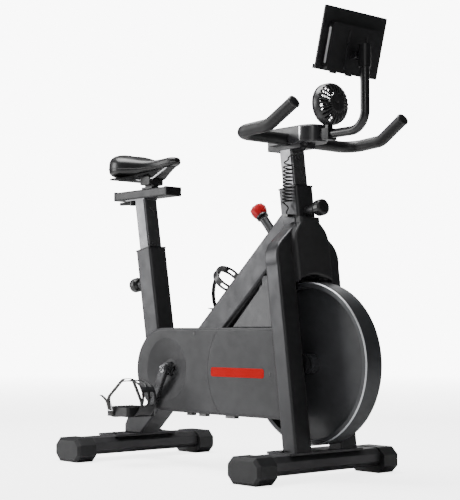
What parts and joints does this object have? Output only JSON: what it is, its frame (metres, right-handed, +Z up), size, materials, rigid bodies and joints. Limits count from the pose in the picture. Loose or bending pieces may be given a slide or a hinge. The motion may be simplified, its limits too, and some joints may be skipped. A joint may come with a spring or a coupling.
{
  "type": "exercise bike",
  "caption": "Indoor cycling bike with a belt-driven front flywheel, covered drive, adjustable saddle and handlebar, tablet holder, desk fan and toe-cage pedals.",
  "frame": {"origin": "on the floor, under the middle of the overall bounding box", "axes": "+X forward to the flywheel and handlebar, +Y to the rider's left, +Z up"},
  "size_m": [1.095, 0.54, 1.2485],
  "materials": {
    "frame_paint": "satin",
    "end_cap_plastic": "matte",
    "shroud_plastic": "satin",
    "bush_plastic": "satin",
    "cover_plastic": "satin",
    "cover_back_plastic": "matte",
    "panel_plastic": "satin",
    "fastener_steel": "black oxide",
    "cage_plastic": "semi-gloss",
    "bearing_steel": "ground",
    "axle_steel": "turned",
    "belt_rubber": "matte",
    "cord_rubber": "satin",
    "pulley_plastic": "satin",
    "crank_paint": "satin",
    "bolt_chrome": "polished",
    "pedal_plastic": "satin",
    "strap_leather": "grained",
    "flywheel_iron": "painted with a turned edge",
    "yoke_steel": "satin",
    "magnet_metal": "nickel plated",
    "red_knob_plastic": "semi-gloss",
    "post_paint": "satin",
    "knob_plastic": "satin",
    "rail_paint": "satin",
    "rail_cap_plastic": "satin",
    "saddle_skin": "smooth synthetic",
    "saddle_base_plastic": "matte",
    "rail_steel": "satin",
    "clamp_metal": "satin",
    "grip_foam": "foam",
    "console_plastic": "satin",
    "stalk_paint": "satin",
    "socket_plastic": "satin",
    "tablet_plastic": "satin",
    "fan_plastic": "semi-gloss",
    "blade_plastic": "semi-gloss"
  },
  "bodies": {
    "frame": {"front_stabilizer": "frame_paint", "rear_stabilizer": "frame_paint", "stabilizer_end_caps": "end_cap_plastic", "front_fork": "frame_paint", "fork_shroud": "shroud_plastic", "head_tube": "frame_paint", "main_tube": "frame_paint", "rear_leg": "frame_paint", "seat_tube": "frame_paint", "post_bushings": "bush_plastic", "belt_cover_rear": "cover_plastic", "belt_cover_front": "cover_plastic", "belt_cover_back": "cover_back_plastic", "upper_side_panel": "panel_plastic", "frame_fasteners": "fastener_steel", "bottle_cage": "cage_plastic", "bracket_bearings": "bearing_steel", "flywheel_axle": "axle_steel", "drive_belt": "belt_rubber", "curly_cord": "cord_rubber", "cord_lead_lower": "cord_rubber"},
    "crank": {"crank_spindle": "axle_steel", "drive_pulley": "pulley_plastic", "crank_arm_right": "crank_paint", "crank_arm_left": "crank_paint", "crank_bolts_and_axles": "bolt_chrome"},
    "right_pedal": {"pedal_body_right": "pedal_plastic", "toe_cage_right": "pedal_plastic", "toe_strap_right": "strap_leather"},
    "left_pedal": {"pedal_body_left": "pedal_plastic", "toe_cage_left": "pedal_plastic", "toe_strap_left": "strap_leather"},
    "flywheel": {"flywheel": "flywheel_iron", "flywheel_pulley": "pulley_plastic", "flywheel_bearings": "bearing_steel"},
    "brake": {"magnet_yoke": "yoke_steel", "brake_magnets": "magnet_metal"},
    "brake_push": {"resistance_rod": "axle_steel"},
    "brake_knob": {"resistance_knob": "red_knob_plastic"},
    "seat_post": {"seat_post": "post_paint"},
    "seat_lever": {"seat_slide_lever": "knob_plastic"},
    "seat_slider": {"seat_rail": "rail_paint", "seat_rail_caps": "rail_cap_plastic"},
    "saddle": {"saddle_pad": "saddle_skin", "saddle_base": "saddle_base_plastic", "saddle_rails": "rail_steel", "saddle_clamp": "clamp_metal"},
    "seat_pull_knob": {"seat_height_knob": "knob_plastic"},
    "bar_pull_knob": {"handlebar_height_knob": "knob_plastic"},
    "handlebar": {"handlebar_post": "post_paint", "handlebar": "grip_foam", "handlebar_bracket": "rail_paint", "console": "console_plastic", "tablet_stalk": "stalk_paint", "tablet_socket": "socket_plastic", "fan_clip": "socket_plastic", "cord_lead_upper": "cord_rubber"},
    "tablet": {"tablet_holder": "tablet_plastic"},
    "fan": {"fan_cage": "fan_plastic"},
    "fan_rotor": {"fan_blades": "blade_plastic"}
  },
  "joints": [
    {"name": "flywheel_spin", "type": "hinge", "parent": "frame", "child": "flywheel", "pos_m": [0.3265, 0, 0.308], "axis": [0, 1, 0], "continuous": true},
    {"name": "crank_spin", "type": "hinge", "parent": "frame", "child": "crank", "pos_m": [-0.1945, 0, 0.283], "axis": [0, 1, 0], "continuous": true},
    {"name": "right_pedal_spin", "type": "hinge", "parent": "crank", "child": "right_pedal", "pos_m": [-0.25806, -0.177, 0.15826], "axis": [0, 1, 0], "continuous": true},
    {"name": "left_pedal_spin", "type": "hinge", "parent": "crank", "child": "left_pedal", "pos_m": [-0.13094, 0.177, 0.40774], "axis": [0, 1, 0], "continuous": true},
    {"name": "brake_turn", "type": "hinge", "parent": "frame", "child": "brake", "pos_m": [0.1652, 0, 0.51446], "axis": [0, 1, 0], "range_deg": [-1, 2.5]},
    {"name": "brake_push", "type": "slide", "parent": "frame", "child": "brake_push", "axis": [0.6626, 0, -0.749], "range_m": [0, 0.008], "stiffness_N_per_m": 2500, "springref_m": -0.002},
    {"name": "resistance_turn", "type": "hinge", "parent": "brake_push", "child": "brake_knob", "pos_m": [0.11587, 0, 0.7305], "axis": [-0.6626, 0, 0.749], "range_deg": [-360, 360]},
    {"name": "seat_height", "type": "slide", "parent": "frame", "child": "seat_post", "axis": [-0.1736, 0, 0.9848], "range_m": [-0.1, 0.05]},
    {"name": "seat_fore_aft", "type": "slide", "parent": "seat_post", "child": "seat_slider", "axis": [1, 0, 0], "range_m": [-0.04, 0.06]},
    {"name": "saddle_tilt", "type": "hinge", "parent": "seat_slider", "child": "saddle", "pos_m": [-0.388, 0, 0.867], "axis": [0, 1, 0], "range_deg": [-6, 6]},
    {"name": "seat_lever_turn", "type": "hinge", "parent": "seat_post", "child": "seat_lever", "pos_m": [-0.462, -0.018, 0.8], "axis": [0, 0, 1], "range_deg": [-15, 75]},
    {"name": "seat_knob_pull", "type": "slide", "parent": "frame", "child": "seat_pull_knob", "axis": [-0.9848, 0, -0.1736], "range_m": [0, 0.01], "stiffness_N_per_m": 900, "springref_m": -0.004},
    {"name": "bar_knob_pull", "type": "slide", "parent": "frame", "child": "bar_pull_knob", "axis": [0.9916, 0, 0.129], "range_m": [0, 0.01], "stiffness_N_per_m": 900, "springref_m": -0.004},
    {"name": "handlebar_height", "type": "slide", "parent": "frame", "child": "handlebar", "axis": [-0.129, 0, 0.9916], "range_m": [-0.05, 0.05], "deforming": ["curly_cord"]},
    {"name": "tablet_tilt", "type": "hinge", "parent": "handlebar", "child": "tablet", "pos_m": [0.496, 0, 1.128], "axis": [0, 1, 0], "range_deg": [-15, 15]},
    {"name": "fan_tilt", "type": "hinge", "parent": "handlebar", "child": "fan", "pos_m": [0.388, 0, 0.951], "axis": [0, 1, 0], "range_deg": [-30, 15]},
    {"name": "fan_spin", "type": "hinge", "parent": "fan", "child": "fan_rotor", "pos_m": [0.3995, 0, 1.011], "axis": [1, 0, 0], "continuous": true}
  ],
  "couplings": [
    {"joint": "crank_spin", "follows": "flywheel_spin", "ratio": 0.26991},
    {"joint": "brake_turn", "follows": "resistance_turn", "ratio": 0.0027}
  ]
}
